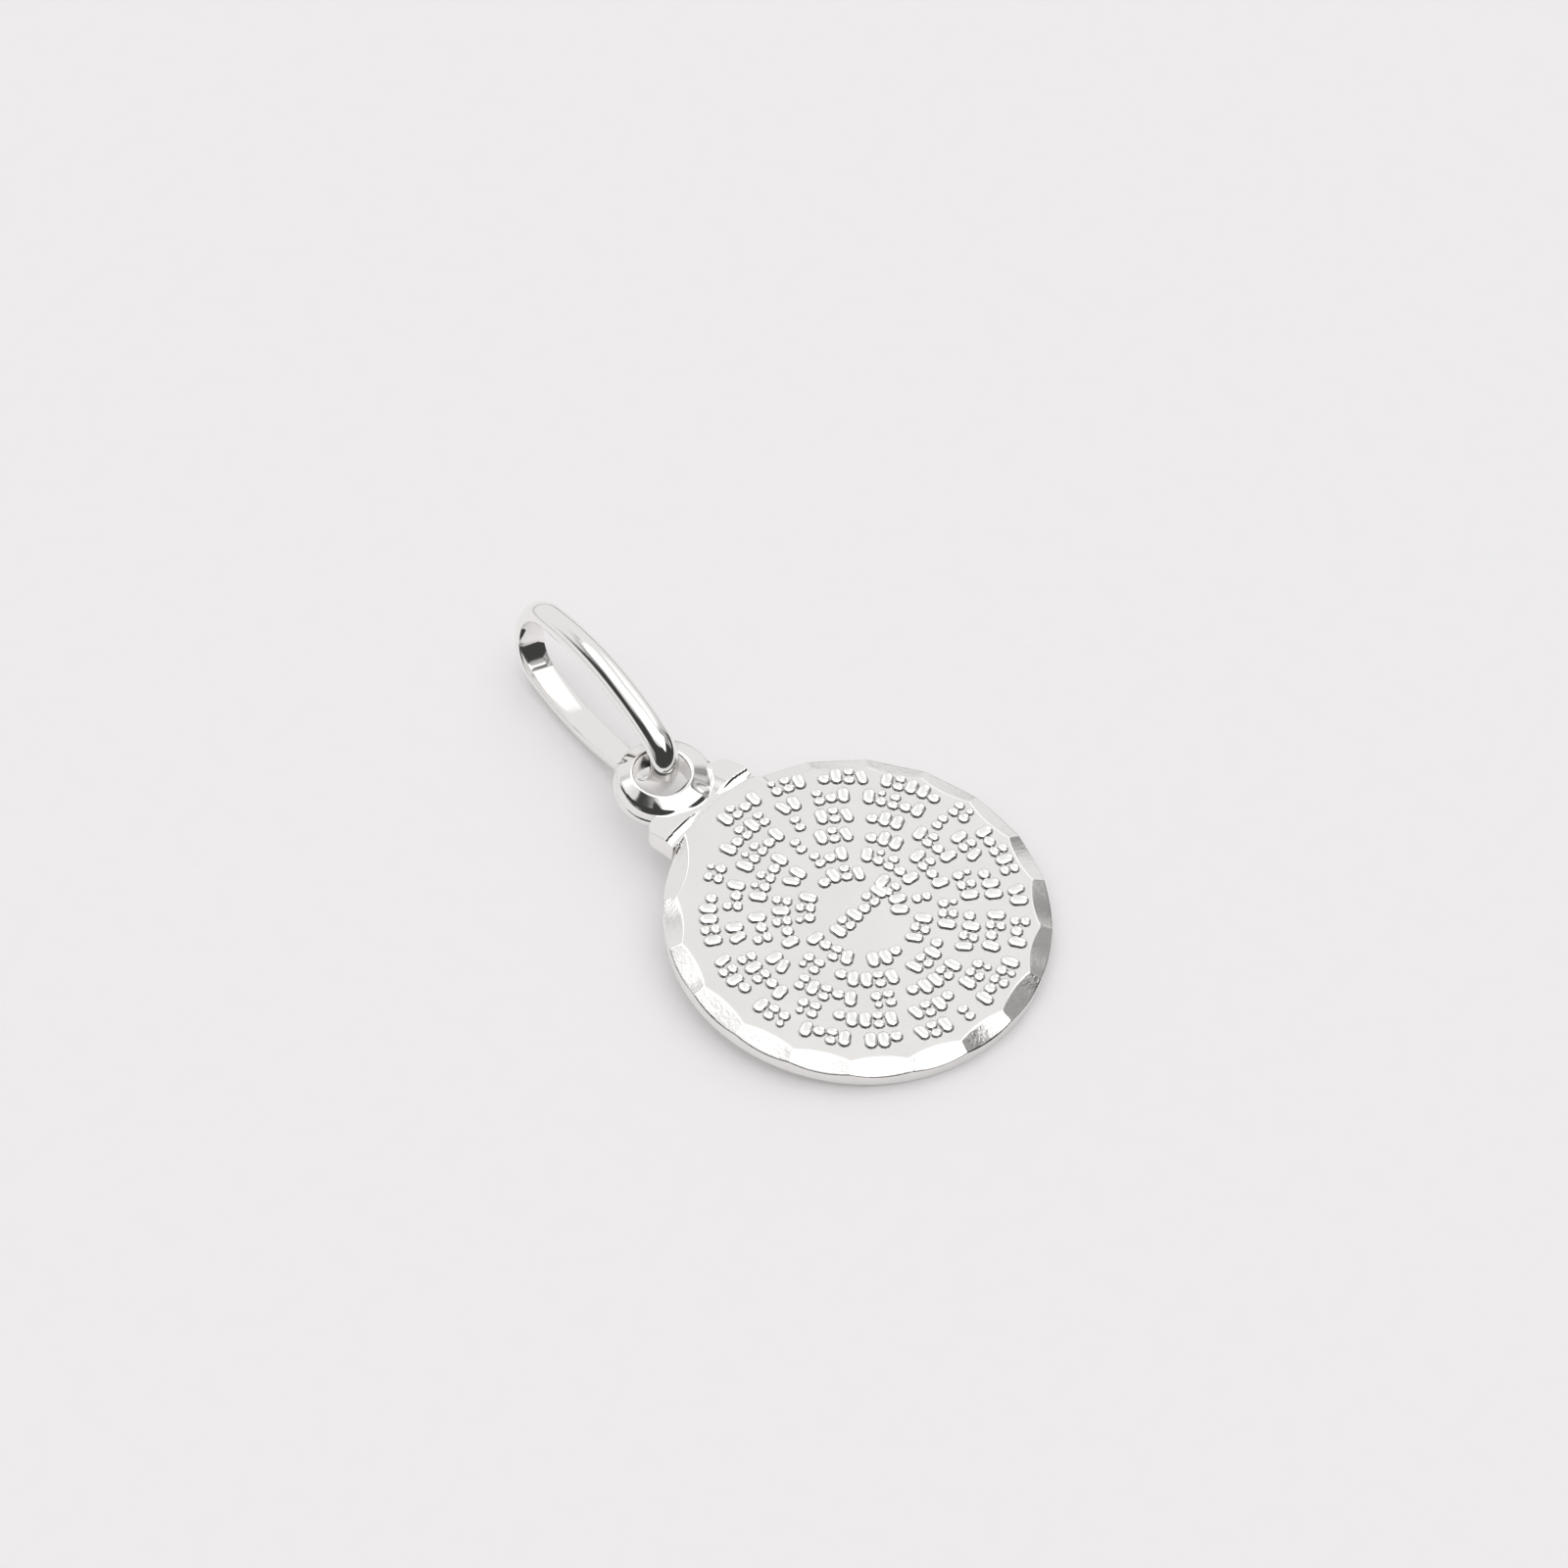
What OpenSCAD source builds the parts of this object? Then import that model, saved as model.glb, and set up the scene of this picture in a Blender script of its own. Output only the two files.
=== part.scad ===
// Disc pendant: a small struck silver medal with a domed eye on its neck, and an oblong
// half-round bail through the eye. It lies on its back, the neck propped up on the bail.
// Millimetres, +Z up. +Y runs from the disc to the bail. The origin is under the middle of
// the whole pendant, on the surface that it rests on.

/* [Disc] */
// Diameter of the disc
disc_d = 15; // [13:0.5:18]
// Thickness of the disc at its flat field
disc_h = 0.82; // [0.78:0.02:1]
// Height of the rim's upright wall at the middle of a facet
wall_h = 0.5; // [0.4:0.02:0.56]
// Number of facets cut round the rim, the neck left plain
facet_count = 18; // [12:1:24]
// Slope of the facets, in degrees
facet_slope = 24; // [20:1:30]
// Radius of the cutter that scoops each facet
facet_r = 10; // [7:0.5:16]

/* [Relief] */
// Distance of the first row of the spiral from the disc's edge
row_edge = 0.9; // [0.85:0.05:1.4]
// Distance from one turn of the spiral to the next
row_pitch = 0.93; // [0.85:0.01:1.1]
// Radius of the plain centre inside the spiral
centre_r = 1.6; // [1.4:0.05:2.2]
// Length of a grain, across its row
grain_l = 0.58; // [0.44:0.02:0.7]
// Width of a grain or a bead
grain_w = 0.34; // [0.26:0.02:0.4]
// Height of the relief above the field
grain_h = 0.1; // [0.06:0.01:0.14]
// Distance from one grain to the next along the row
grain_step = 0.5; // [0.46:0.02:0.7]

/* [Neck] */
// Inner diameter of the eye
eye_d = 2.2; // [2.1:0.1:2.6]
// Width of the eye's ring
eye_w = 0.74; // [0.6:0.02:0.9]
// Thickness of the eye's ring
eye_h = 1.05; // [0.95:0.05:1.2]
// Radius of the ring's domed top
dome_r = 0.4; // [0.38:0.01:0.46]
// Gap between the disc's edge and the hole of the eye
eye_gap = 1.2; // [1.1:0.05:1.5]
// Thickness of the collar
lobe_h = 1; // [0.92:0.02:1.1]
// Radius of the collar's two lobes
lobe_r = 0.7; // [0.6:0.02:0.8]
// Distance of the lobes' outer centres from the disc's edge
lobe_out = 0.62; // [0.5:0.02:0.7]
// Further distance of the collar's middle from the disc's edge
lobe_bow = 0.23; // [0.1:0.01:0.4]
// Distance between the ends of the collar's lobes
collar_l = 4.9; // [4.6:0.1:5.6]
// Width of the thin lip that the die leaves round the neck
lip_w = 0.06; // [0.04:0.01:0.1]
// Thickness of that lip
lip_h = 0.3; // [0.2:0.02:0.4]
// Width of the web that carries the collar on the disc
web_w = 4.5; // [4:0.1:5]

/* [Bail] */
// Length of the bail over its two round ends
bail_l = 10.6; // [10:0.2:13]
// Outer radius of the end that passes through the eye
near_r = 1.55; // [1.45:0.05:1.65]
// Outer radius of the far end
far_r = 2; // [1.9:0.05:2.4]
// Outer radius of the two gently bowed sides
side_r = 17; // [14:1:30]
// Width of the half-round band
band_w = 1.24; // [1:0.02:1.28]
// Thickness of the band
band_h = 0.68; // [0.6:0.02:0.7]
// Thickness of the band at its two edges
band_edge_h = 0.16; // [0.1:0.02:0.24]

/* [Pose] */
// Height of the eye's hole above the surface, at the middle of its thickness
eye_z = 2.2; // [2.1:0.05:2.4]
// Direction in which the disc's back faces down, from straight away from the neck
lean_turn = -8; // [-12:1:0]
// Turn of the bail to the side, seen from above
bail_turn = -16.5; // [-20:0.5:-10]
// Lean of the bail to the side
bail_lean = 12; // [8:1:16]
// Rise of the bail's far end
bail_rise = -2.6; // [-5:0.2:0]
// Shift of the bail's near end to the right in the eye's hole
bail_side = 0.26; // [0.1:0.02:0.3]
// Shift of the bail's near end towards the outer edge of the eye
bail_out = -0.08; // [-0.12:0.02:0.2]

/* [Hidden] */
fine = 48;
end_steps = 20;
side_steps = 12;
dome_steps = 8;
past = 1;
silver = [0.86, 0.86, 0.85];
pale_silver = [0.9, 0.9, 0.89];

disc_r = disc_d / 2;
eye_r = eye_d / 2;
eye_outer_r = eye_r + eye_w;
eye_y = disc_r + eye_gap + eye_r;

// The lobes run from the ends of the collar up to the middle of the neck.
lobe_x = collar_l / 2 - lobe_r;
lobe_y = disc_r + lobe_out;
lobe_z = lobe_h - lobe_r;
lobe_l = norm([lobe_x, lobe_bow]);
lobe_turn = atan2(lobe_bow, lobe_x);

// The facets leave a tenth of the rim plain for the neck.
neck_angle = 36;
facet_step = (360 - neck_angle) / facet_count;
facet_start = 90 + neck_angle / 2 + facet_step / 2;

// Grains and beads are rods and balls sunk in the field up to their height.
grain_r = (pow(grain_w / 2, 2) + pow(grain_h, 2)) / (2 * grain_h);
grain_z = disc_h + grain_h - grain_r;
row_start = disc_r - row_edge;

dome_rise = band_h - band_edge_h;
band_dome_r = (pow(band_w / 2, 2) + pow(dome_rise, 2)) / (2 * dome_rise);
span = bail_l - near_r - far_r;
arc_x = (pow(span, 2) + pow(side_r - near_r, 2) - pow(side_r - far_r, 2)) / (2 * span);
arc_y = sqrt(pow(side_r - near_r, 2) - pow(arc_x, 2));
near_angle = atan2(arc_y, -arc_x);
far_angle = atan2(arc_y, span - arc_x);

// The disc leans back until the eye is at its height, and its rim meets the surface.
lean_x = sin(lean_turn);
lean_y = -cos(lean_turn);
tilt = asin((eye_z - eye_h / 2) / (disc_r - eye_y * lean_y));
disc_z = disc_r * sin(tilt);
eye_slide = eye_y * lean_y * (cos(tilt) - 1) + eye_h / 2 * sin(tilt);
back_y = disc_r * sqrt(1 - pow(sin(tilt) * lean_y, 2)) - disc_h * sin(tilt) * lean_y;

// A point of the spiral row a distance s along it, as [angle, radius].
row_shrink = row_pitch / 360;
function row_point(s) =
    let (a = (row_start - sqrt(pow(row_start, 2) - row_shrink * s * 360 / PI)) / row_shrink)
    [90 - a, row_start - row_shrink * a];
row_length = (pow(row_start, 2) - pow(centre_r, 2)) / row_shrink * PI / 360;
row_count = floor(row_length / grain_step);

// One run of marks along the row: G is an upright grain, L one that leans left, R right,
// B a pair of beads, o a single bead, and a space parts one group from the next.
marks = "GBoG RBG oGBL GBGGo BR GoBGB LG BoG GRBoG B GBL oGG ";
centre_marks = "GBGoBG";

module solid_grain(turn) {
    rotate([0, 0, turn])
        translate([0, 0, grain_z])
            rotate([0, 90, 0])
                cylinder(r = grain_r, h = grain_l, center = true, $fn = fine);
}

module solid_bead(across) {
    translate([across, 0, grain_z]) sphere(r = grain_r, $fn = fine);
}

// One mark at the origin, its row running along Y.
module mark(kind) {
    if (kind == "G") solid_grain(0);
    if (kind == "L") solid_grain(-24);
    if (kind == "R") solid_grain(24);
    if (kind == "o") solid_bead(0);
    if (kind == "B") for (side = [-1, 1]) solid_bead(side * (grain_l - grain_w) / 2);
}

module relief() {
    for (i = [0 : row_count]) {
        place = row_point(i * grain_step);
        rotate([0, 0, place[0]])
            translate([place[1], 0, 0])
                mark(marks[i % len(marks)]);
    }
    centre_count = len(centre_marks);
    for (i = [0 : centre_count - 1])
        translate([(i - (centre_count - 1) / 2) * grain_step, 0, 0])
            rotate([0, 0, 90])
                mark(centre_marks[i]);
}

// The cutter for one facet: a rod that slopes down over the rim.
module facet_cutter() {
    translate([disc_r, 0, wall_h])
        rotate([0, 90 + facet_slope, 0])
            translate([-facet_r, 0, -facet_r / 2])
                cylinder(r = facet_r, h = facet_r, $fn = fine);
}

module facets() {
    for (i = [0 : facet_count - 1])
        rotate([0, 0, facet_start + i * facet_step]) facet_cutter();
}

// A rod with round ends along X, from x = 0 to the given length between its end centres.
module round_rod(length, radius) {
    rotate([0, 90, 0])
        rotate_extrude($fn = fine)
            intersection() {
                union() {
                    translate([-radius, 0]) square([2 * radius, length]);
                    circle(r = radius, $fn = fine);
                    translate([0, length]) circle(r = radius, $fn = fine);
                }
                translate([0, -radius]) square([radius, length + 2 * radius]);
            }
}

// The collar: a cushion in two lobes that meet under the eye.
module collar() {
    for (side = [0, 1]) mirror([side, 0, 0]) {
        translate([lobe_x, lobe_y, lobe_z])
            rotate([0, 0, 180 - lobe_turn])
                round_rod(lobe_l, lobe_r);
        translate([lobe_x, lobe_y, 0])
            rotate([0, 0, 180 - lobe_turn])
                linear_extrude(lip_h) {
                    circle(r = lobe_r + lip_w, $fn = fine);
                    translate([0, -lobe_r - lip_w]) square([lobe_l, 2 * (lobe_r + lip_w)]);
                }
    }
}

// The eye's ring: upright walls, a domed top and the die's lip round its foot.
module eye() {
    translate([0, eye_y, 0]) {
        rotate_extrude($fn = fine) {
            translate([eye_r / 2, 0]) square([eye_w + eye_r / 2, eye_h - dome_r]);
            intersection() {
                translate([eye_r / 2, 0]) square([eye_w + eye_r / 2, eye_h]);
                translate([eye_r + eye_w / 2, eye_h - dome_r]) circle(r = dome_r, $fn = fine);
            }
        }
        cylinder(r = eye_outer_r + lip_w, h = lip_h, $fn = fine);
    }
}

// The struck medal, flat on its back with its neck along +Y.
module flat_medal() {
    difference() {
        union() {
            difference() {
                union() {
                    cylinder(r = disc_r, h = disc_h, $fn = 2 * fine);
                    relief();
                }
                facets();
            }
            translate([-web_w / 2, 0, 0]) cube([web_w, lobe_y, disc_h]);
            collar();
            eye();
        }
        translate([0, eye_y, -past]) cylinder(r = eye_r, h = eye_h + 2 * past, $fn = fine);
        translate([-disc_r, 0, -lobe_r]) cube([disc_d, eye_y, lobe_r]);
    }
}

// The link's outer outline in its own plane, the near end about the origin and the far end
// along +X: four arcs that run into each other. Each point is [x, y, outward angle].
function arc_points(centre, radius, from, to, count) =
    [for (i = [0 : count - 1]) let (a = from + (to - from) * i / count)
        [centre[0] + radius * cos(a), centre[1] + radius * sin(a), a]];
link_points = concat(
    arc_points([0, 0], near_r, near_angle, 360 - near_angle, end_steps),
    arc_points([arc_x, arc_y], side_r, 360 - near_angle, 360 - far_angle, side_steps),
    arc_points([span, 0], far_r, -far_angle, far_angle, end_steps),
    arc_points([arc_x, -arc_y], side_r, far_angle, near_angle, side_steps));

// The band's section as [across, inwards]: a flat inner face and a domed outer face.
dome_half_angle = asin(band_w / 2 / band_dome_r);
band_points = concat(
    [[band_w / 2, band_h], [-band_w / 2, band_h]],
    [for (i = [0 : dome_steps]) let (a = dome_half_angle * (2 * i / dome_steps - 1))
        [band_dome_r * sin(a), band_dome_r * (1 - cos(a))]]);

// Where a point of the flat link comes to lie once it stands, leaned, raised and turned.
function stood(p) =
    let (side = -p[2] * cos(bail_lean) - p[1] * sin(bail_lean),
        up = -p[2] * sin(bail_lean) + p[1] * cos(bail_lean),
        along = p[0] * cos(bail_rise) - up * sin(bail_rise))
    [-along * sin(bail_turn) - side * cos(bail_turn),
        along * cos(bail_turn) - side * sin(bail_turn),
        p[0] * sin(bail_rise) + up * cos(bail_rise)];
near_middle = [band_h / 2 - near_r, 0, 0];
stood_near = stood(near_middle);
stood_points = [for (p = link_points, b = band_points)
    stood([p[0] - b[1] * cos(p[2]), p[1] - b[1] * sin(p[2]), b[0]])];
bail_x = lean_x * eye_slide + bail_side - stood_near[0];
bail_y = eye_y + lean_y * eye_slide + bail_out - stood_near[1];
bail_z = -min([for (p = stood_points) p[2]]);
front_y = bail_y + max([for (p = stood_points) p[1]]);
middle_y = (front_y - back_y) / 2;

// The band swept once round the link.
module flat_bail() {
    rings = len(link_points);
    sides = len(band_points);
    polyhedron(
        points = [for (p = link_points, b = band_points)
            [p[0] - b[1] * cos(p[2]), p[1] - b[1] * sin(p[2]), b[0]]],
        faces = [for (i = [0 : rings - 1], j = [0 : sides - 1])
            let (i2 = (i + 1) % rings, j2 = (j + 1) % sides)
            [i * sides + j, i * sides + j2, i2 * sides + j2, i2 * sides + j]]);
}

module posed_medal() {
    translate([0, -middle_y, disc_z])
        rotate(a = tilt, v = [-lean_y, lean_x, 0])
            flat_medal();
}

module medal() {
    color(silver) posed_medal();
}

module bail() {
    color(pale_silver)
        translate([bail_x, bail_y - middle_y, bail_z])
            rotate([bail_lean, -bail_rise, 90 + bail_turn])
                rotate([90, 0, 0])
                    flat_bail();
}

medal();
bail();
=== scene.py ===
import math
import bmesh
import bpy
from mathutils import Matrix, Vector


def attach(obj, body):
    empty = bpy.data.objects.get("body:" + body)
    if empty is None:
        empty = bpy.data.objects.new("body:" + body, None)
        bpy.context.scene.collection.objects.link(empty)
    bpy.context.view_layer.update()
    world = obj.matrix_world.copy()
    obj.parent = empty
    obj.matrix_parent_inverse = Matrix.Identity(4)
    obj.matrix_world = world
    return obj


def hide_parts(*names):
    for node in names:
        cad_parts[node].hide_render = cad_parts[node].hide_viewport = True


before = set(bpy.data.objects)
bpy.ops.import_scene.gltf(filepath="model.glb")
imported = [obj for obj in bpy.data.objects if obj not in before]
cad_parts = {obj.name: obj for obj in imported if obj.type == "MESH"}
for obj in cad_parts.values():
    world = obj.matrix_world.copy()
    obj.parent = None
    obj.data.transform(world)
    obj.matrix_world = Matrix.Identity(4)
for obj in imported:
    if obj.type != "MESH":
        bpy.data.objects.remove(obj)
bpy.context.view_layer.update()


# ---- The disc
# A struck silver blank, 15 mm across, with a plain back and a satin field. A cutter has scooped
# bright facets round its rim, all but at the neck. Sizes are in millimetres, flat on its back
# with the neck along +Y, until lay_down tips it on to the bail and makes it metres.
DISC_R = 7.5
DISC_H = 0.82
WALL_H = 0.5
WORN_EDGE = 0.03
# The facets: how many, their bearings from the neck in degrees, how they lie and how deep.
FACETS = 18
FACET_STEP = 18
FIRST_FACET = 27
FACET_SLOPE = math.radians(24)
SCOOP_R = 10
FADE_FROM = 338
FADE_TO = 343
FADE_H = 0.24
# How it lies: the eye's middle is held this high, on an axis that leans a little off square.
EYE_Y = 9.8
EYE_H = 1.05
EYE_Z = 2.2
LEAN = math.radians(-8)
MIDDLE_Y = 5.96619
TILT = math.asin((EYE_Z - EYE_H / 2) / (DISC_R + EYE_Y * math.cos(LEAN)))
LIE = (Matrix.Translation((0, -MIDDLE_Y, DISC_R * math.sin(TILT)))
       @ Matrix.Rotation(TILT, 4, Vector((math.cos(LEAN), math.sin(LEAN), 0))))


def ease(value):
    """0 up to 0, 1 from 1 on, smooth in between."""
    value = min(max(value, 0), 1)
    return value * value * (3 - 2 * value)


def facet_height(radius, bearing):
    """Height of the nearest facet's scoop, at a bearing in degrees. The last fades at the neck."""
    facet = min(max(round((bearing - FIRST_FACET) / FACET_STEP), 0), FACETS - 1)
    off = math.radians(bearing - FIRST_FACET - facet * FACET_STEP)
    out, aside = radius * math.cos(off), radius * math.sin(off)
    scoop = SCOOP_R - math.sqrt(SCOOP_R ** 2 - aside ** 2)
    fade = FADE_H * (1 - ease((FADE_TO - bearing) / (FADE_TO - FADE_FROM)))
    return fade + WALL_H - (out - DISC_R) * math.tan(FACET_SLOPE) + scoop / math.cos(FACET_SLOPE)


def facet_inner(bearing):
    """Radius at which the facet runs out into the field."""
    low, high = 6.0, DISC_R - WORN_EDGE
    if facet_height(high, bearing) >= DISC_H:
        return high
    for _ in range(30):
        mid = (low + high) / 2
        low, high = (mid, high) if facet_height(mid, bearing) > DISC_H else (low, mid)
    return low


def grow_loop(bm, edges, place):
    """Extrude a closed loop of edges and put each new point where place says."""
    grown = bmesh.ops.extrude_edge_only(bm, edges=edges)["geom"]
    for v in (g for g in grown if isinstance(g, bmesh.types.BMVert)):
        v.co = place(v.co.copy())
    return [g for g in grown if isinstance(g, bmesh.types.BMEdge) and g.is_boundary]


def lay_down(bm, place, name, finishes, node):
    """Move a shape to its place, turn it to metres and make it one of the pendant's pieces."""
    bmesh.ops.transform(bm, matrix=Matrix.Scale(0.001, 4) @ place, verts=bm.verts)
    bmesh.ops.recalc_face_normals(bm, faces=bm.faces)
    mesh = bpy.data.meshes.new(name)
    bm.to_mesh(mesh)
    bm.free()
    for finish in finishes:
        mesh.materials.append(finish)
    mesh.shade_smooth()
    piece = bpy.data.objects.new(name, mesh)
    bpy.context.scene.collection.objects.link(piece)
    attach(piece, "root")
    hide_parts(node)


class Tone:
    """A value that changes over a surface. Sums and products of tones add their Math nodes."""

    def __init__(self, tree, socket):
        self.tree, self.socket = tree, socket

    def plug(self, slot, value):
        if isinstance(value, Tone):
            self.tree.links.new(value.socket, slot)
        else:
            slot.default_value = value

    def node(self, kind, settings, sockets, out=0):
        made = self.tree.nodes.new(kind)
        for key, value in settings.items():
            setattr(made, key, value)
        for key, value in sockets.items():
            self.plug(made.inputs[key], value)
        return Tone(self.tree, made.outputs[out])

    def math(self, operation, *values):
        return self.node("ShaderNodeMath", {"operation": operation}, dict(enumerate(values)))

    def __add__(self, other):
        return self.math("ADD", self, other)

    __radd__ = __add__

    def __sub__(self, other):
        return self.math("SUBTRACT", self, other)

    def __rsub__(self, other):
        return self.math("SUBTRACT", other, self)

    def __mul__(self, other):
        return self.math("MULTIPLY", self, other)

    __rmul__ = __mul__

    def __truediv__(self, other):
        return self.math("DIVIDE", self, other)

    def between(self, low, high):
        """0 below low, 1 above high, smooth in between."""
        return self.node("ShaderNodeMapRange", {"interpolation_type": "SMOOTHSTEP"},
                         {"Value": self, "From Min": low, "From Max": high})


def new_finish(name, roughness, colour=(0.93, 0.92, 0.905)):
    """A bare silver finish, its shader and the surface's own coordinates."""
    finish = bpy.data.materials.new(name)
    finish.use_nodes = True
    shader = finish.node_tree.nodes["Principled BSDF"]
    shader.inputs["Base Color"].default_value = (*colour, 1)
    shader.inputs["Metallic"].default_value = 1
    shader.inputs["Roughness"].default_value = roughness
    start = Tone(finish.node_tree, None)
    where = start.node("ShaderNodeTexCoord", {}, {}, out="Object")
    return finish, shader, where


def satin_silver():
    """Struck silver as it leaves the die: a fine even grain, a little brighter in patches."""
    finish, shader, where = new_finish("satin_silver", 0.2, (0.89, 0.875, 0.86))
    grain = where.node("ShaderNodeTexNoise", {}, {"Vector": where, "Scale": 9000, "Detail": 4,
                                                 "Roughness": 0.6})
    cloud = where.node("ShaderNodeTexNoise", {}, {"Vector": where, "Scale": 420, "Detail": 3})
    bump = where.node("ShaderNodeBump", {}, {"Height": grain, "Strength": 0.1,
                                             "Distance": 0.00002})
    where.plug(shader.inputs["Roughness"], 0.12 + 0.1 * cloud + 0.04 * grain)
    where.plug(shader.inputs["Normal"], bump)
    return finish


def cut_silver():
    """The bright cut of a facet: almost a mirror, with faint chatter marks from the cutter."""
    finish, shader, where = new_finish("bright_cut_silver", 0.1)
    smear = where.node("ShaderNodeTexNoise", {}, {"Vector": where, "Scale": 2600, "Detail": 5,
                                                 "Roughness": 0.65})
    chatter = where.node("ShaderNodeTexNoise", {}, {"Vector": where, "Scale": 9000, "Detail": 3,
                                                   "Roughness": 0.6})
    where.plug(shader.inputs["Roughness"], 0.06 + 0.12 * smear.between(0.35, 0.65))
    bump = where.node("ShaderNodeBump", {}, {"Height": smear + 0.6 * chatter, "Strength": 0.25,
                                             "Distance": 0.00003})
    where.plug(shader.inputs["Normal"], bump)
    return finish


# Every ring of the mesh has a point each half degree.
RIM_STEPS = 720
inner_at = {step / 2: facet_inner(step / 2) for step in range(RIM_STEPS + 1)}


def ring_place(radius_of, height_of):
    """Where a ring's points go: a radius and a height, both for each bearing."""
    def place(co):
        bearing = (math.degrees(math.atan2(co.y, co.x)) - 90) % 360
        radius = radius_of(bearing)
        along = Vector((co.x, co.y)).normalized() * radius
        return Vector((along.x, along.y, height_of(radius, bearing)))
    return place


def flat_at(height):
    return lambda radius, bearing: height


def scoop_or_field(radius, bearing):
    return min(facet_height(radius, bearing), DISC_H)


def inner(bearing):
    return inner_at[round(bearing * 2) / 2]


def across_facet(share):
    """Radius at a share of the way from the worn edge to just inside the field."""
    return lambda bearing: ((DISC_R - WORN_EDGE) * (1 - share)
                            + (inner(bearing) + WORN_EDGE) * share)


# The cut part: round the back's edge, up the wall, over the worn edge and across the facets.
cut = [ring_place(lambda b: DISC_R - 0.05, flat_at(0)),
       ring_place(lambda b: DISC_R - 0.015, flat_at(0.012)),
       ring_place(lambda b: DISC_R, flat_at(0.05)),
       ring_place(lambda b: DISC_R, flat_at(0.12))]
cut += [ring_place(lambda b: DISC_R, lambda r, b, below=below: scoop_or_field(r, b) - below)
        for below in (0.09, 0.045, 0.02)]
cut += [ring_place(lambda b: DISC_R - 0.008, lambda r, b: scoop_or_field(r, b) - 0.006)]
cut += [ring_place(across_facet(share), scoop_or_field)
        for share in (0, 0.08, 0.2, 0.35, 0.5, 0.65, 0.8, 0.92, 1)]
# The struck part: a crisp edge and the flat field.
struck = [ring_place(lambda b: inner(b), lambda r, b: scoop_or_field(r, b) - 0.003),
          ring_place(lambda b: inner(b) - 0.03, flat_at(DISC_H)),
          ring_place(lambda b: inner(b) - 0.09, flat_at(DISC_H)),
          ring_place(lambda b: 6.2, flat_at(DISC_H)),
          ring_place(lambda b: 4.0, flat_at(DISC_H)),
          ring_place(lambda b: 1.0, flat_at(DISC_H))]

bm = bmesh.new()
bmesh.ops.create_circle(bm, segments=RIM_STEPS, radius=DISC_R - 0.15, cap_ends=True)
rim = list(bm.edges)
for number, place in enumerate(cut + struck):
    before = set(bm.faces)
    rim = grow_loop(bm, rim, place)
    for face in set(bm.faces) - before:
        face.material_index = 1 if number < len(cut) else 0
bmesh.ops.holes_fill(bm, edges=rim, sides=0)
lay_down(bm, LIE, "disc", [satin_silver(), cut_silver()], "medal")


# ---- The raised marks
# Word-like groups of plump grains and beads, struck with the disc in one long spiral row and a
# short straight one at its centre. Wear has polished their tops, and their colour is darkened
# towards the foot as painted shade.
ROW_START = 6.6
ROW_PITCH = 0.93
CENTRE_R = 1.6
MARK_STEP = 0.5
MARK_H = 0.1
SINK = 0.02
MARKS = "GBoG RBG oGBL GBGGo BR GoBGB LG BoG GRBoG B GBL oGG "
CENTRE_MARKS = "GBGoBG"
# The grains of each mark: place across and along the row, length, width, turn in degrees.
GRAINS = {"G": [(0, 0, 0.76, 0.5, 0)], "L": [(-0.03, 0, 0.74, 0.44, 20)],
          "R": [(-0.15, 0, 0.48, 0.48, 0), (0.25, 0.03, 0.34, 0.34, 0)],
          "B": [(-0.2, 0, 0.48, 0.4, 90), (0.2, 0, 0.46, 0.4, 90)],
          "o": [(-0.1, 0, 0.52, 0.5, 90)]}
# How a grain rises from its foot: share of its width and share of its height.
FOOT = 1.12
DOME = ((1, 0.35), (0.92, 0.72), (0.7, 0.92), (0.3, 1))


def raised_silver():
    """Struck silver, rubbed bright on the tops, with painted shade darkening its colour in the
    creases.
    """
    finish, shader, where = new_finish("raised_silver", 0.2)
    hollow = where.node("ShaderNodeAttribute", {"attribute_name": "height"}, {}, out="Fac")
    grain = where.node("ShaderNodeTexNoise", {}, {"Vector": where, "Scale": 7000, "Detail": 3})
    worn_top_clear_of_painted_shade = hollow.between(0.1, 0.7)
    # Towards each grain's foot the colour turns dark: this is painted crease shade.
    colour = where.node("ShaderNodeMix", {"data_type": "RGBA"}, {
        0: worn_top_clear_of_painted_shade, 6: (0.55, 0.54, 0.53, 1), 7: (0.97, 0.965, 0.95, 1)}, out=2)
    where.plug(shader.inputs["Base Color"], colour)
    where.plug(shader.inputs["Roughness"], 0.3 - 0.16 * worn_top_clear_of_painted_shade + 0.08 * grain)
    bump = where.node("ShaderNodeBump", {}, {"Height": grain, "Strength": 0.15,
                                             "Distance": 0.00002})
    where.plug(shader.inputs["Normal"], bump)
    return finish


def raise_grain(bm, across, along, length, width, turn):
    """One round-ended grain with a low dome, its foot sunk in the field."""
    made = bmesh.ops.create_circle(bm, segments=10, radius=1, cap_ends=True,
                                   matrix=Matrix.Rotation(math.radians(18), 4, "Z"))["verts"]
    reach = max(length - width, 0) / 2
    verts = list(made)
    loop = list({e for v in made for e in v.link_edges})
    for v in made:
        v.co = Vector((v.co.x * width * FOOT / 2 + math.copysign(reach, v.co.x),
                       v.co.y * width * FOOT / 2, -SINK))
    for grow, height in DOME:
        def place(co, grow=grow, height=height):
            side = math.copysign(reach, co.x)
            out = Vector((co.x - side, co.y)).normalized() * width / 2 * grow
            return Vector((out.x + side, out.y, MARK_H * height))
        loop = grow_loop(bm, loop, place)
        verts += list({v for e in loop for v in e.verts})
    bmesh.ops.contextual_create(bm, geom=loop)
    bmesh.ops.transform(bm, verts=verts, matrix=Matrix.Translation((across, along, 0))
                        @ Matrix.Rotation(math.radians(turn), 4, "Z"))


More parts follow.
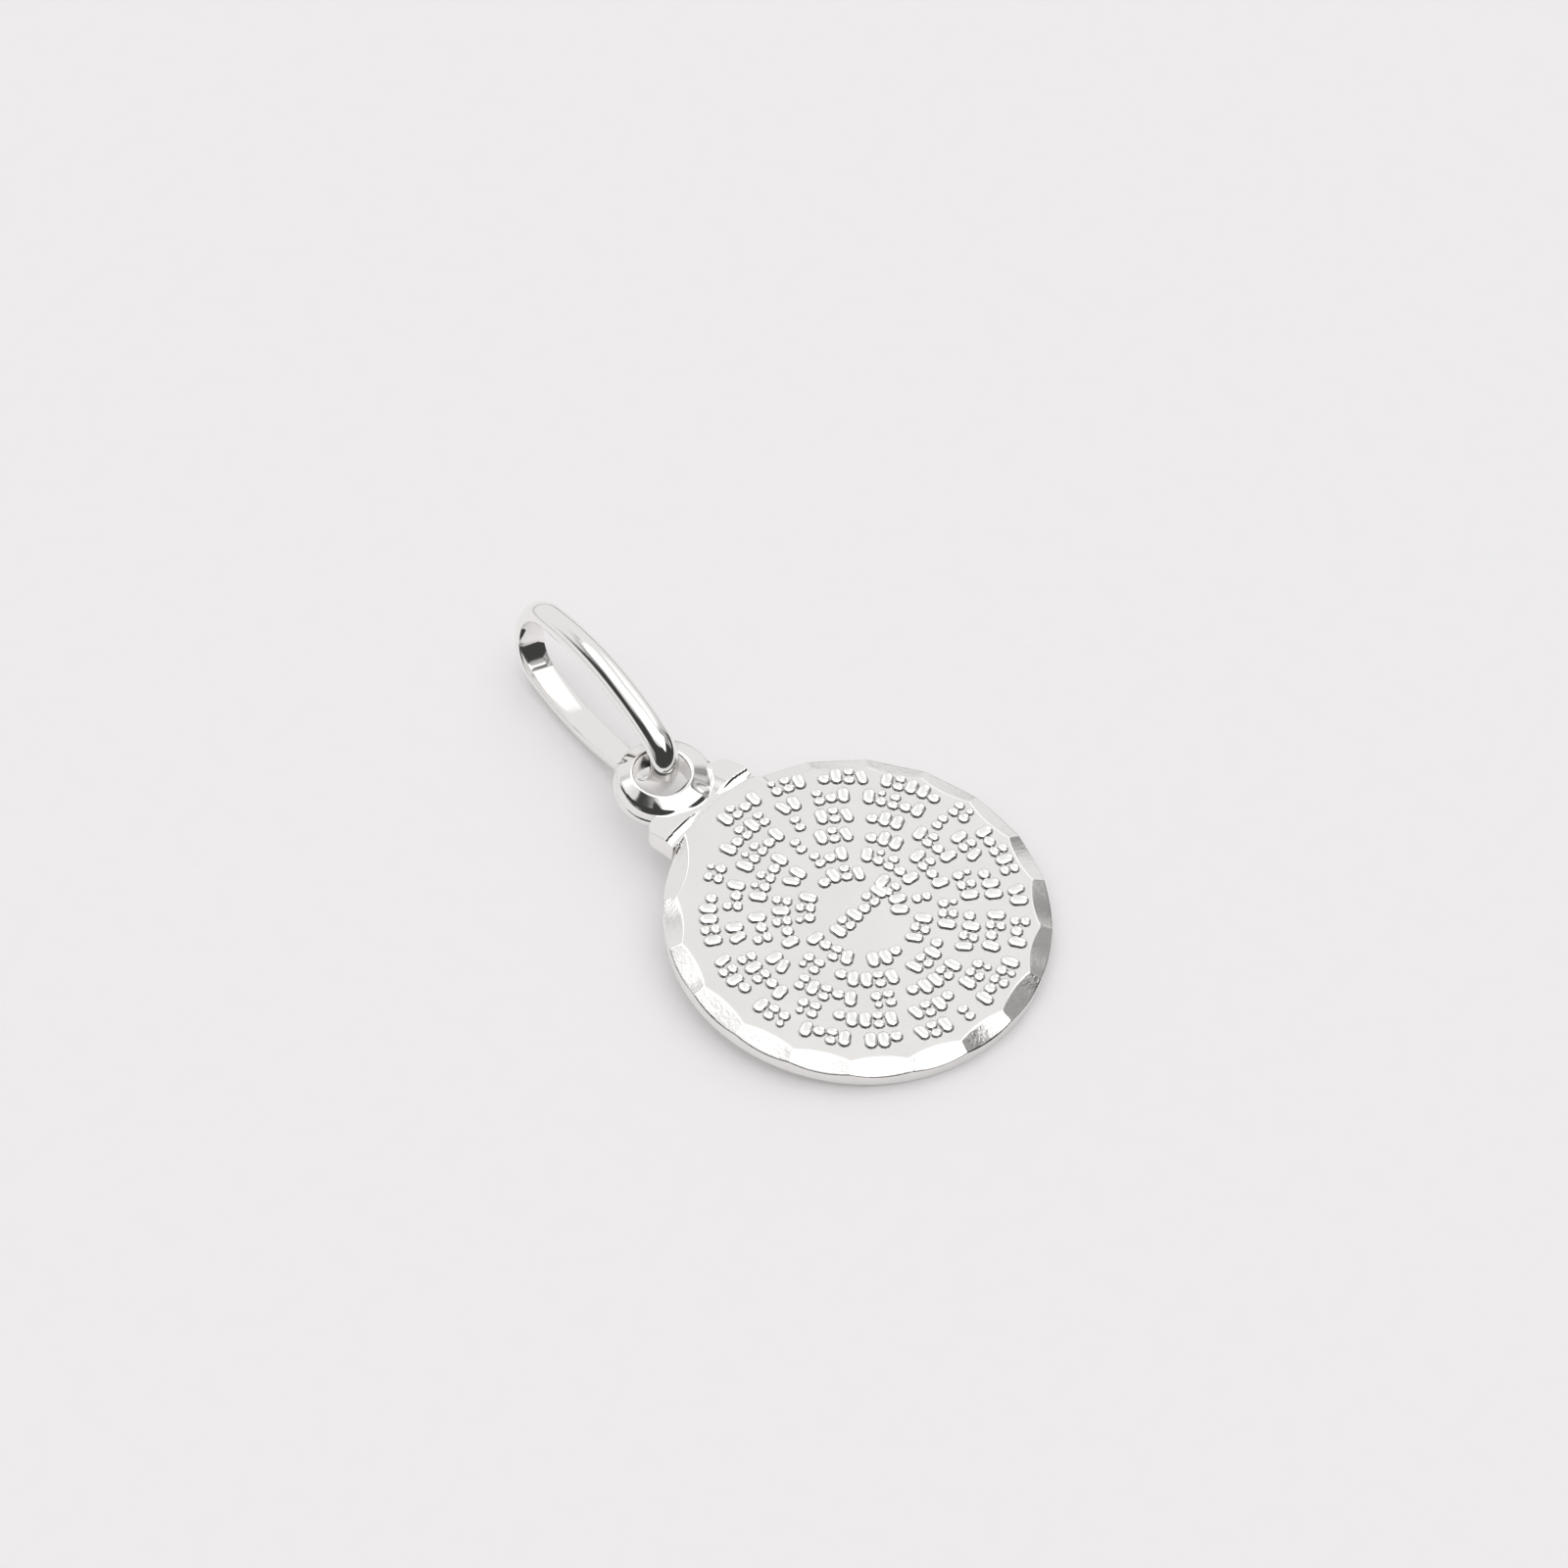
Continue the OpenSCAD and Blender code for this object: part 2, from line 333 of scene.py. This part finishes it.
shapes = {}
for kind, grains in GRAINS.items():
    bm = bmesh.new()
    for grain in grains:
        raise_grain(bm, *grain)
    bmesh.ops.remove_doubles(bm, verts=bm.verts, dist=1e-5)
    level = bm.verts.layers.float.new("height")
    for v in bm.verts:
        v[level] = v.co.z / MARK_H
    bmesh.ops.transform(bm, verts=bm.verts, matrix=Matrix.Translation((0, 0, DISC_H)))
    shapes[kind] = bpy.data.meshes.new("mark_" + kind)
    bm.to_mesh(shapes[kind])
    bm.free()


def strike(bm, kind, spot):
    """Add a copy of one mark's shape where it belongs."""
    if kind in shapes:
        one = shapes[kind].copy()
        one.transform(spot)
        bm.from_mesh(one)
        bpy.data.meshes.remove(one)


bm = bmesh.new()
shrink = ROW_PITCH / 360
row_length = (ROW_START ** 2 - CENTRE_R ** 2) / shrink * math.pi / 360
for number in range(int(row_length / MARK_STEP) + 1):
    inwards = (ROW_START - math.sqrt(ROW_START ** 2 - shrink * number * MARK_STEP
                                     * 360 / math.pi)) / shrink
    strike(bm, MARKS[number % len(MARKS)],
           Matrix.Rotation(math.radians(90 - inwards), 4, "Z")
           @ Matrix.Translation((ROW_START - shrink * inwards, 0, 0)))
for number, mark in enumerate(CENTRE_MARKS):
    strike(bm, mark, Matrix.Translation(((number - (len(CENTRE_MARKS) - 1) / 2) * MARK_STEP, 0, 0))
           @ Matrix.Rotation(math.radians(90), 4, "Z"))
lay_down(bm, LIE, "raised_marks", [raised_silver()], "medal")


# ---- The collar and the eye
# The neck of the medal: two low cushions and, on them, a ring for the bail, all struck with the
# disc and polished. A cutter has left a bright leaf-shaped slope at the foot of each cushion.
EYE_R = 1.12
EYE_W = 0.82
# The ring's outer edge is off the hole's centre by this much.
OFF_X = 0.15
OFF_Y = -0.06
# How steep the ring is: over most of it, on its left and towards the left leaf.
EYE_SLOPE = math.tan(math.radians(29))
LEFT_SLOPE = math.tan(math.radians(21))
FOOT_SLOPE = math.tan(math.radians(13))
CREST_W = 0.1
ROUNDING = 2.5
LIP_W = 0.06
LIP_H = 0.42
LOBE_R = 0.64
LOBE_X = 1.76
LOBE_Y = 8.15
FALL_FROM = 7.65
LOBE_FALL = 0.26
# Each leaf runs from its inner end to its outer end, both given across and along the neck.
LEAVES = ((0.72, 7.55, 2.35, 7.46), (-0.1, 7.58, -2.4, 7.62))
LEAF_H = 0.14
LEAF_W = 0.28
LEAF_BOW = 0.09
LEAF_RISE = 0.55
HOLLOW = 1.15
FILLET_W = 0.14
FILLET_H = 0.035


def polished_silver(name, roughness):
    """Hand-polished silver: fine wheel marks and slightly duller patches where it was touched."""
    finish, shader, where = new_finish(name, roughness, (0.94, 0.93, 0.915))
    wipe = where.node("ShaderNodeTexNoise", {}, {"Vector": where, "Scale": 700, "Detail": 5})
    haze = where.node("ShaderNodeTexNoise", {}, {"Vector": where, "Scale": 5200, "Detail": 3})
    where.plug(shader.inputs["Roughness"], roughness + 0.07 * wipe.between(0.4, 0.7)
               + 0.03 * haze)
    bump = where.node("ShaderNodeBump", {}, {"Height": wipe + 0.4 * haze, "Strength": 0.08,
                                             "Distance": 0.00003})
    where.plug(shader.inputs["Normal"], bump)
    return finish


def melt(bm, name, grain, passes):
    """Fuse overlapping shapes into one skin and soften the corners where they meet."""
    mesh = bpy.data.meshes.new(name)
    bm.to_mesh(mesh)
    bm.free()
    rough = bpy.data.objects.new(name, mesh)
    bpy.context.scene.collection.objects.link(rough)
    skin = rough.modifiers.new("skin", "REMESH")
    skin.mode = "VOXEL"
    skin.voxel_size = grain
    soft = rough.modifiers.new("soft", "SMOOTH")
    soft.factor = 0.5
    soft.iterations = passes
    bpy.context.view_layer.update()
    shaped = bpy.data.meshes.new_from_object(
        rough.evaluated_get(bpy.context.evaluated_depsgraph_get()))
    bpy.data.objects.remove(rough)
    out = bmesh.new()
    out.from_mesh(shaped)
    bpy.data.meshes.remove(shaped)
    return out


def ground(x, y):
    """Just under the disc's own surface, and level with its field outside its rim."""
    radius = math.hypot(x, y)
    if radius > DISC_R - 0.04:
        return DISC_H
    return scoop_or_field(radius, math.degrees(math.atan2(-x, y)) % 360) - SINK


def collar_top(x, y):
    """Height of the cushions: the leaves are hollow slopes, and behind them all falls back."""
    fall = LOBE_FALL * max(y - FALL_FROM, 0)
    for start, start_y, end, end_y in LEAVES:
        share = (x - start) / (end - start)
        if share > 0:
            grown = ease(share / 0.5)
            upper = (start_y + (end_y - start_y) * min(share, 1)
                     + LEAF_BOW * math.sin(math.pi * min(share, 1)))
            lower = upper - LEAF_W * grown
            if y >= upper:
                return DISC_H + LEAF_H * grown - fall
            if y > lower:
                rise = LEAF_RISE * ((y - lower) / (upper - lower)) ** HOLLOW
                return DISC_H + LEAF_H * grown * rise
    return ground(x, y) - fall


def eye_place(x, y):
    """Distance out from the hole's wall, and the way there."""
    share = min(max((math.hypot(x, y - EYE_Y) - EYE_R) / EYE_W, 0), 1)
    across, along = x - OFF_X * share, y - EYE_Y - OFF_Y * share
    radius = max(math.hypot(across, along), 0.01)
    return radius - EYE_R, across / radius, along / radius


def eye_top(x, y):
    """Height of the ring: a rounded crest at the hole and a slope outwards."""
    out, way_x, way_y = eye_place(x, y)
    if out > EYE_W + CREST_W:
        return 0
    to_leaf = ease((-0.35 * way_x - 0.94 * way_y - 0.7) / 0.22)
    to_left = ease((-0.81 * way_x + 0.59 * way_y - 0.76) / 0.18)
    slope = EYE_SLOPE + (FOOT_SLOPE - EYE_SLOPE) * to_leaf
    slope += (LEFT_SLOPE - EYE_SLOPE) * to_left
    crest = EYE_H - ROUNDING * max(CREST_W - out, 0) ** 2
    return (crest - slope * max(out - CREST_W, 0)
            - ROUNDING * max(out - EYE_W + 2 * CREST_W, 0) ** 2)


def neck_top(x, y):
    """The higher of the two, with a small hollow where they meet."""
    eye, collar = eye_top(x, y), collar_top(x, y)
    near = max(FILLET_W - abs(eye - collar), 0) / FILLET_W
    return max(eye, collar) + FILLET_H * near * near


# The ring stands full height at first, and neck_top gives it its slope.
bm = bmesh.new()
section = [(0, -0.1), (0, EYE_H), (EYE_W, EYE_H), (EYE_W, LIP_H), (EYE_W + LIP_W, LIP_H - 0.05),
           (EYE_W + LIP_W, -0.1)]
verts = [bm.verts.new((EYE_R + out, EYE_Y, high)) for out, high in section]
edges = [bm.edges.new((verts[i], verts[(i + 1) % len(verts)])) for i in range(len(verts))]
bmesh.ops.spin(bm, geom=verts + edges, cent=(0, EYE_Y, 0), axis=(0, 0, 1), dvec=(0, 0, 0),
               angle=2 * math.pi, steps=96, use_merge=True, use_duplicate=False)
bmesh.ops.remove_doubles(bm, verts=bm.verts, dist=1e-4)
for v in bm.verts:
    share = min((math.hypot(v.co.x, v.co.y - EYE_Y) - EYE_R) / EYE_W, 1)
    v.co += Vector((OFF_X, OFF_Y, 0)) * share
# The round ends of the cushions, and blocks to fill the neck: half width, near and far side.
for side in (-1, 1):
    end = bmesh.ops.create_cone(bm, cap_ends=True, segments=64, radius1=LOBE_R, radius2=LOBE_R,
                                depth=EYE_H + 0.1)["verts"]
    bmesh.ops.translate(bm, verts=end, vec=(side * LOBE_X, LOBE_Y, EYE_H / 2 - 0.05))
for width, near, far in ((LOBE_X + LOBE_R, 7.25, LOBE_Y), (LOBE_X, 6.9, LOBE_Y + LOBE_R),
                         (2.1, 6.9, 7.5)):
    block = bmesh.ops.create_cube(bm, size=1)["verts"]
    bmesh.ops.transform(bm, verts=block, matrix=Matrix.Translation((0, (near + far) / 2, 0.475))
                        @ Matrix.Diagonal((2 * width, far - near, EYE_H + 0.1, 1)))
bmesh.ops.recalc_face_normals(bm, faces=bm.faces)
soft = melt(bm, "neck_form", 0.03, 3)
bmesh.ops.bisect_plane(soft, geom=soft.verts[:] + soft.edges[:] + soft.faces[:],
                       plane_co=(0, 0, 0), plane_no=(0, 0, 1), clear_inner=True)
rim = [e for e in soft.edges if e.is_boundary]
for edge in rim:
    edge.smooth = False
bmesh.ops.triangle_fill(soft, edges=rim, use_beauty=True, use_dissolve=False, normal=(0, 0, -1))
for v in soft.verts:
    v.co.z *= neck_top(v.co.x, v.co.y) / EYE_H
upper = [v for v in soft.verts if v.co.z > 0.4]
bmesh.ops.smooth_vert(soft, verts=upper, factor=0.5, use_axis_x=True, use_axis_y=True,
                      use_axis_z=True)
lay_down(soft, LIE, "collar_and_eye",
         [polished_silver("polished_neck_silver", 0.07)], "medal")


# ---- The bail
# An oblong link of half-round silver band, bent and soldered, its flat side inwards. It passes
# through the eye and lies on its lower limb. It is turned arc by arc round four centres.
BAIL_L = 10.6
NEAR_R = 1.55
FAR_R = 2.0
SIDE_R = 17
BAND_W = 1.24
BAND_H = 0.68
BAND_EDGE = 0.16
BAIL_AT = Vector((0.589775, 10.7827 - MIDDLE_Y, 2.3971))
BAIL_LEAN = math.radians(12)
BAIL_RISE = math.radians(-2.6)
BAIL_TURN = math.radians(90 - 16.5)

# Where the side arcs' centres are, and at what angles they meet the end arcs.
span = BAIL_L - NEAR_R - FAR_R
arc_x = (span ** 2 + (SIDE_R - NEAR_R) ** 2 - (SIDE_R - FAR_R) ** 2) / (2 * span)
arc_y = math.sqrt((SIDE_R - NEAR_R) ** 2 - arc_x ** 2)
near_angle = math.atan2(arc_y, -arc_x)
far_angle = math.atan2(arc_y, span - arc_x)
# The band's rounded outside.
rise = BAND_H - BAND_EDGE
dome_r = ((BAND_W / 2) ** 2 + rise ** 2) / (2 * rise)
half = math.asin(BAND_W / 2 / dome_r)

bm = bmesh.new()
outline = [(BAND_W / 2 - 0.05, BAND_H), (BAND_W / 2 - 0.015, BAND_H - 0.012),
           (BAND_W / 2, BAND_H - 0.05)]
outline += [(dome_r * math.sin(half * (1 - k / 12)), dome_r * (1 - math.cos(half * (1 - k / 12))))
            for k in range(25)]
outline += [(-BAND_W / 2, BAND_H - 0.05), (-BAND_W / 2 + 0.015, BAND_H - 0.012),
            (-BAND_W / 2 + 0.05, BAND_H), (-0.3, BAND_H), (0, BAND_H), (0.3, BAND_H)]
start = (math.cos(near_angle), math.sin(near_angle))
verts = [bm.verts.new(((NEAR_R - deep) * start[0], (NEAR_R - deep) * start[1], across))
         for across, deep in outline]
edges = [bm.edges.new((verts[i], verts[(i + 1) % len(verts)])) for i in range(len(verts))]
ring = verts + edges
for centre, turn, steps in (((0, 0, 0), 2 * math.pi - 2 * near_angle, 48),
                            ((arc_x, arc_y, 0), near_angle - far_angle, 40),
                            ((span, 0, 0), 2 * far_angle, 52),
                            ((arc_x, -arc_y, 0), near_angle - far_angle, 40)):
    ring = bmesh.ops.spin(bm, geom=ring, cent=centre, axis=(0, 0, 1), dvec=(0, 0, 0),
                          angle=turn, steps=steps, use_merge=False,
                          use_duplicate=False)["geom_last"]
bmesh.ops.remove_doubles(bm, verts=bm.verts, dist=1e-3)
hang = (Matrix.Translation(BAIL_AT) @ Matrix.Rotation(BAIL_TURN, 4, "Z")
        @ Matrix.Rotation(-BAIL_RISE, 4, "Y") @ Matrix.Rotation(BAIL_LEAN, 4, "X")
        @ Matrix.Rotation(math.radians(90), 4, "X"))
lay_down(bm, hang, "bail_link",
         [polished_silver("polished_bail_silver", 0.05)], "bail")


# ---- The table
# Pale smooth card under the pendant. It is part of the picture only.
bm = bmesh.new()
bmesh.ops.create_circle(bm, segments=96, radius=1.5, cap_ends=True)
mesh = bpy.data.meshes.new("table")
bm.to_mesh(mesh)
bm.free()
table = bpy.data.objects.new("table", mesh)
bpy.context.scene.collection.objects.link(table)
card = bpy.data.materials.new("pale_card")
card.use_nodes = True
sheet = card.node_tree.nodes["Principled BSDF"]
sheet.inputs["Roughness"].default_value = 0.75
sheet.inputs["Specular IOR Level"].default_value = 0.25
# The card glows faintly: painted light that lifts its shadows and its tone.
sheet.inputs["Emission Color"].default_value = (1, 0.985, 0.992, 1)
sheet.inputs["Emission Strength"].default_value = 0.12
where = Tone(card.node_tree, None).node("ShaderNodeTexCoord", {}, {}, out="Object")
fleck = where.node("ShaderNodeTexNoise", {}, {"Vector": where, "Scale": 900, "Detail": 4})
where.plug(sheet.inputs["Base Color"], where.node("ShaderNodeMix", {"data_type": "RGBA"}, {
    0: fleck.between(0.3, 0.7), 6: (0.84, 0.828, 0.834, 1), 7: (0.848, 0.836, 0.842, 1)}, out=2))
table.data.materials.append(card)


# ---- The light
# A soft white tent open towards the camera: a wide panel overhead and one behind it on the left,
# a paler wall behind both, and the dim room on the right and in front.
VIEW_TURN = math.radians(51.308)
world = bpy.data.worlds.new("tent")
bpy.context.scene.world = world
world.use_nodes = True
sky = world.node_tree.nodes["Background"]
there = Tone(world.node_tree, None).node("ShaderNodeTexCoord", {}, {}, out="Generated")
x = there.node("ShaderNodeSeparateXYZ", {}, {"Vector": there}, out="X")
y = there.node("ShaderNodeSeparateXYZ", {}, {"Vector": there}, out="Y")
z = there.node("ShaderNodeSeparateXYZ", {}, {"Vector": there}, out="Z")
right = x * math.cos(VIEW_TURN) - y * math.sin(VIEW_TURN)
back = x * math.sin(VIEW_TURN) + y * math.cos(VIEW_TURN)
up = z.math("MAXIMUM", z, 0.02)
# The panels lie flat overhead: u is across them to the right and v away, in heights.
u, v = right / up, back / up
near_edge = ((1 - (-0.82 * u - 0.57 * v).between(0.38, 0.46))
             * (1 - (-0.45 * u - 0.89 * v).between(0.3, 0.4)))
overhead = near_edge * (1 - u.between(0.78, 0.88)) * (1 - v.between(0.45, 0.53))
behind_left = near_edge * (1 - u.between(-0.12, -0.02)) * (1 - (0.84 * v - 0.54 * u).between(
    0.85, 0.93))
behind_left = behind_left * (0.55 + 0.45 * u.between(-0.85, -0.6))
panel = overhead.math("MAXIMUM", overhead, behind_left)
# The rest stands round the tent: turn is in degrees from the right by way of the back, and
# climb is in degrees up.
turn = back.math("ARCTAN2", back, right) * math.degrees(1)
turn = turn.math("FLOORED_MODULO", turn, 360)
climb = z.math("ARCSINE", z) * math.degrees(1)
# The wall reaches further round on the left at its foot, and dims there and behind the panel.
low = 1 - climb.between(19, 27)
wall = (0.82 * ((1 - low) * (1 - turn.between(160, 170)) + low * (1 - turn.between(215, 235)))
        * (turn.between(42, 56) * climb.between(0, 7)
           + turn.between(84, 94) * (1 - climb.between(0, 7))))
wall = wall * (0.5 + 0.5 * climb.between(0, 6))
frame_shade = 1 - (0.84 * v - 0.54 * u).between(0.93, 1.05)
wall = wall * (1 - 0.5 * frame_shade * (1 - u.between(-0.5, -0.3)))
# A pale sheet over the camera and on the left, a bright window behind on the right, and a dim
# room full of things.
front = 0.74 * (climb.between(57, 61)
                + climb.between(44, 50) * (1 - climb.between(57, 61))
                * (1 - turn.between(176, 188)))
window = (1.25 * turn.between(47, 54) * (1 - turn.between(76, 82)) * climb.between(24, 32)
          * (1 - climb.between(50, 60)))
things = there.node("ShaderNodeTexNoise", {}, {"Vector": there, "Scale": 6, "Detail": 3})
room = 0.05 + (0.2 + 0.4 * things.between(0.35, 0.65)) * (
    turn.between(2, 10) * (1 - turn.between(47, 54)) * climb.between(10, 22)
    * (1 - climb.between(45, 52)))
gloss = room
for light in (wall, front * turn.between(120, 140), window, 1.4 * panel):
    gloss = gloss.math("MAXIMUM", gloss, light)
# The card is lit more evenly than the metal, from above.
soft = 0.225 + 1.05 * up * up + 0.22 * overhead
camera_ray = there.node("ShaderNodeLightPath", {}, {}, out="Is Camera Ray")
soft_ray = there.node("ShaderNodeLightPath", {}, {}, out="Is Diffuse Ray")
there.plug(sky.inputs["Strength"], camera_ray * 0.86 + (1 - camera_ray) * (
    soft_ray * soft + (1 - soft_ray) * gloss))
sky.inputs["Color"].default_value = (1, 0.995, 0.99, 1)


# ---- The camera
# A long lens about 250 mm away, from the side of the disc's lower left, looking down at 49
# degrees as in the photograph.
VIEW_AT = Vector((4.3033, 1.0731, 0)) * 0.001
FROM = math.radians(218.692)
HEIGHT = math.radians(49)
lens = bpy.data.cameras.new("camera")
lens.sensor_width = 36
lens.lens = 145.88
lens.clip_start = 0.005
camera = bpy.data.objects.new("camera", lens)
bpy.context.scene.collection.objects.link(camera)
away = Vector((math.cos(HEIGHT) * math.cos(FROM), math.cos(HEIGHT) * math.sin(FROM),
               math.sin(HEIGHT)))
camera.location = VIEW_AT + away * 0.25
camera.rotation_euler = (-away).to_track_quat("-Z", "Y").to_euler()
bpy.context.scene.camera = camera
bpy.context.scene.view_settings.view_transform = "Standard"
